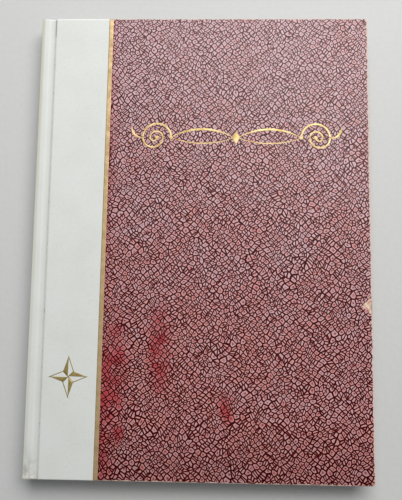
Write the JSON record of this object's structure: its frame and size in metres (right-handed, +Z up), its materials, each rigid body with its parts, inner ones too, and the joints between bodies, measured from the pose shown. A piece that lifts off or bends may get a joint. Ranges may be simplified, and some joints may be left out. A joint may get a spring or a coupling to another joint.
{
  "type": "stamp stock album",
  "caption": "Hard-cover stamp stock album with a cloth spine, grained paper boards, foil ornament and sewn card leaves with glassine pocket strips.",
  "frame": {"origin": "middle of the closed album's footprint, on the surface that it lies on", "axes": "+X from the spine to the fore-edge, +Y from the tail to the head, +Z up through the covers"},
  "size_m": [0.225, 0.31, 0.0174],
  "materials": {
    "case_board": "matte grey board",
    "book_cloth": "fine linen-grain book cloth",
    "grained_paper": "crackle-grained, satin",
    "gold_foil": "hot-stamped foil, worn",
    "endpaper": "matte",
    "kraft_lining": "matte",
    "sewing_linen": "waxed thread",
    "leaf_card": "matte",
    "guard_linen": "woven linen",
    "pocket_glassine": "calendered, translucent",
    "interleaf_glassine": "calendered, translucent"
  },
  "bodies": {
    "back_cover": {"back_board": "case_board", "back_cloth": "book_cloth", "back_paper": "grained_paper", "back_foil_line": "gold_foil", "back_joint_cloth": "book_cloth", "back_pastedown": "endpaper", "sewing_thread": "sewing_linen"},
    "spine": {"spine_board": "case_board", "spine_cloth": "book_cloth", "spine_lining": "kraft_lining"},
    "front_cover": {"front_board": "case_board", "front_cloth": "book_cloth", "front_paper": "grained_paper", "front_foil_line": "gold_foil", "front_star": "gold_foil", "front_flourish": "gold_foil", "front_joint_cloth": "book_cloth", "front_pastedown": "endpaper"},
    "front_flyleaf": {"front_flyleaf": "endpaper"},
    "leaf_1": {"leaf_1_card": "leaf_card", "leaf_1_guard": "guard_linen", "leaf_1_stubs": "leaf_card", "leaf_1_pockets": "pocket_glassine"},
    "interleaf_1": {"interleaf_1": "interleaf_glassine"},
    "leaf_2": {"leaf_2_card": "leaf_card", "leaf_2_guard": "guard_linen", "leaf_2_stubs": "leaf_card", "leaf_2_pockets": "pocket_glassine"},
    "interleaf_2": {"interleaf_2": "interleaf_glassine"},
    "leaf_3": {"leaf_3_card": "leaf_card", "leaf_3_guard": "guard_linen", "leaf_3_stubs": "leaf_card", "leaf_3_pockets": "pocket_glassine"},
    "interleaf_3": {"interleaf_3": "interleaf_glassine"},
    "leaf_4": {"leaf_4_card": "leaf_card", "leaf_4_guard": "guard_linen", "leaf_4_stubs": "leaf_card", "leaf_4_pockets": "pocket_glassine"},
    "interleaf_4": {"interleaf_4": "interleaf_glassine"},
    "leaf_5": {"leaf_5_card": "leaf_card", "leaf_5_guard": "guard_linen", "leaf_5_stubs": "leaf_card", "leaf_5_pockets": "pocket_glassine"},
    "interleaf_5": {"interleaf_5": "interleaf_glassine"},
    "leaf_6": {"leaf_6_card": "leaf_card", "leaf_6_guard": "guard_linen", "leaf_6_stubs": "leaf_card", "leaf_6_pockets": "pocket_glassine"},
    "interleaf_6": {"interleaf_6": "interleaf_glassine"},
    "leaf_7": {"leaf_7_card": "leaf_card", "leaf_7_guard": "guard_linen", "leaf_7_stubs": "leaf_card", "leaf_7_pockets": "pocket_glassine"},
    "interleaf_7": {"interleaf_7": "interleaf_glassine"},
    "leaf_8": {"leaf_8_card": "leaf_card", "leaf_8_guard": "guard_linen", "leaf_8_stubs": "leaf_card", "leaf_8_pockets": "pocket_glassine"},
    "back_flyleaf": {"back_flyleaf": "endpaper"}
  },
  "joints": [
    {"name": "front_cover_hinge", "type": "hinge", "parent": "spine", "child": "front_cover", "pos_m": [-0.1115, 0, 0.01642], "axis": [0, -1, 0], "range_deg": [0, 90], "deforming": ["front_joint_cloth"]},
    {"name": "spine_hinge", "type": "hinge", "parent": "back_cover", "child": "spine", "pos_m": [-0.1115, 0, 0.001], "axis": [0, -1, 0], "range_deg": [0, 90], "deforming": ["back_joint_cloth"]},
    {"name": "front_flyleaf_turn", "type": "hinge", "parent": "back_cover", "child": "front_flyleaf", "pos_m": [-0.1095, 0, 0.00871], "axis": [0, -1, 0], "range_deg": [0, 180]},
    {"name": "leaf_1_turn", "type": "hinge", "parent": "back_cover", "child": "leaf_1", "pos_m": [-0.1095, 0, 0.00871], "axis": [0, -1, 0], "range_deg": [0, 180]},
    {"name": "interleaf_1_turn", "type": "hinge", "parent": "back_cover", "child": "interleaf_1", "pos_m": [-0.1095, 0, 0.00871], "axis": [0, -1, 0], "range_deg": [0, 180]},
    {"name": "leaf_2_turn", "type": "hinge", "parent": "back_cover", "child": "leaf_2", "pos_m": [-0.1095, 0, 0.00871], "axis": [0, -1, 0], "range_deg": [0, 180]},
    {"name": "interleaf_2_turn", "type": "hinge", "parent": "back_cover", "child": "interleaf_2", "pos_m": [-0.1095, 0, 0.00871], "axis": [0, -1, 0], "range_deg": [0, 180]},
    {"name": "leaf_3_turn", "type": "hinge", "parent": "back_cover", "child": "leaf_3", "pos_m": [-0.1095, 0, 0.00871], "axis": [0, -1, 0], "range_deg": [0, 180]},
    {"name": "interleaf_3_turn", "type": "hinge", "parent": "back_cover", "child": "interleaf_3", "pos_m": [-0.1095, 0, 0.00871], "axis": [0, -1, 0], "range_deg": [0, 180]},
    {"name": "leaf_4_turn", "type": "hinge", "parent": "back_cover", "child": "leaf_4", "pos_m": [-0.1095, 0, 0.00871], "axis": [0, -1, 0], "range_deg": [0, 180]},
    {"name": "interleaf_4_turn", "type": "hinge", "parent": "back_cover", "child": "interleaf_4", "pos_m": [-0.1095, 0, 0.00871], "axis": [0, -1, 0], "range_deg": [0, 180]},
    {"name": "leaf_5_turn", "type": "hinge", "parent": "back_cover", "child": "leaf_5", "pos_m": [-0.1095, 0, 0.00871], "axis": [0, -1, 0], "range_deg": [0, 180]},
    {"name": "interleaf_5_turn", "type": "hinge", "parent": "back_cover", "child": "interleaf_5", "pos_m": [-0.1095, 0, 0.00871], "axis": [0, -1, 0], "range_deg": [0, 180]},
    {"name": "leaf_6_turn", "type": "hinge", "parent": "back_cover", "child": "leaf_6", "pos_m": [-0.1095, 0, 0.00871], "axis": [0, -1, 0], "range_deg": [0, 180]},
    {"name": "interleaf_6_turn", "type": "hinge", "parent": "back_cover", "child": "interleaf_6", "pos_m": [-0.1095, 0, 0.00871], "axis": [0, -1, 0], "range_deg": [0, 180]},
    {"name": "leaf_7_turn", "type": "hinge", "parent": "back_cover", "child": "leaf_7", "pos_m": [-0.1095, 0, 0.00871], "axis": [0, -1, 0], "range_deg": [0, 180]},
    {"name": "interleaf_7_turn", "type": "hinge", "parent": "back_cover", "child": "interleaf_7", "pos_m": [-0.1095, 0, 0.00871], "axis": [0, -1, 0], "range_deg": [0, 180]},
    {"name": "leaf_8_turn", "type": "hinge", "parent": "back_cover", "child": "leaf_8", "pos_m": [-0.1095, 0, 0.00871], "axis": [0, -1, 0], "range_deg": [0, 180]},
    {"name": "back_flyleaf_turn", "type": "hinge", "parent": "back_cover", "child": "back_flyleaf", "pos_m": [-0.1095, 0, 0.00871], "axis": [0, -1, 0], "range_deg": [0, 180]}
  ],
  "couplings": [
    {"joint": "spine_hinge", "follows": "front_cover_hinge", "ratio": 1},
    {"joint": "front_flyleaf_turn", "follows": "front_cover_hinge", "ratio": 1.9889},
    {"joint": "leaf_1_turn", "follows": "front_cover_hinge", "ratio": 1.9644},
    {"joint": "interleaf_1_turn", "follows": "front_cover_hinge", "ratio": 1.94},
    {"joint": "leaf_2_turn", "follows": "front_cover_hinge", "ratio": 1.9156},
    {"joint": "interleaf_2_turn", "follows": "front_cover_hinge", "ratio": 1.8911},
    {"joint": "leaf_3_turn", "follows": "front_cover_hinge", "ratio": 1.8667},
    {"joint": "interleaf_3_turn", "follows": "front_cover_hinge", "ratio": 1.8422},
    {"joint": "leaf_4_turn", "follows": "front_cover_hinge", "ratio": 1.8178},
    {"joint": "interleaf_4_turn", "follows": "front_cover_hinge", "ratio": 1.7933},
    {"joint": "leaf_5_turn", "follows": "front_cover_hinge", "ratio": 0.18222},
    {"joint": "interleaf_5_turn", "follows": "front_cover_hinge", "ratio": 0.15778},
    {"joint": "leaf_6_turn", "follows": "front_cover_hinge", "ratio": 0.13333},
    {"joint": "interleaf_6_turn", "follows": "front_cover_hinge", "ratio": 0.10889},
    {"joint": "leaf_7_turn", "follows": "front_cover_hinge", "ratio": 0.08444},
    {"joint": "interleaf_7_turn", "follows": "front_cover_hinge", "ratio": 0.06},
    {"joint": "leaf_8_turn", "follows": "front_cover_hinge", "ratio": 0.03556},
    {"joint": "back_flyleaf_turn", "follows": "front_cover_hinge", "ratio": 0.01111}
  ]
}
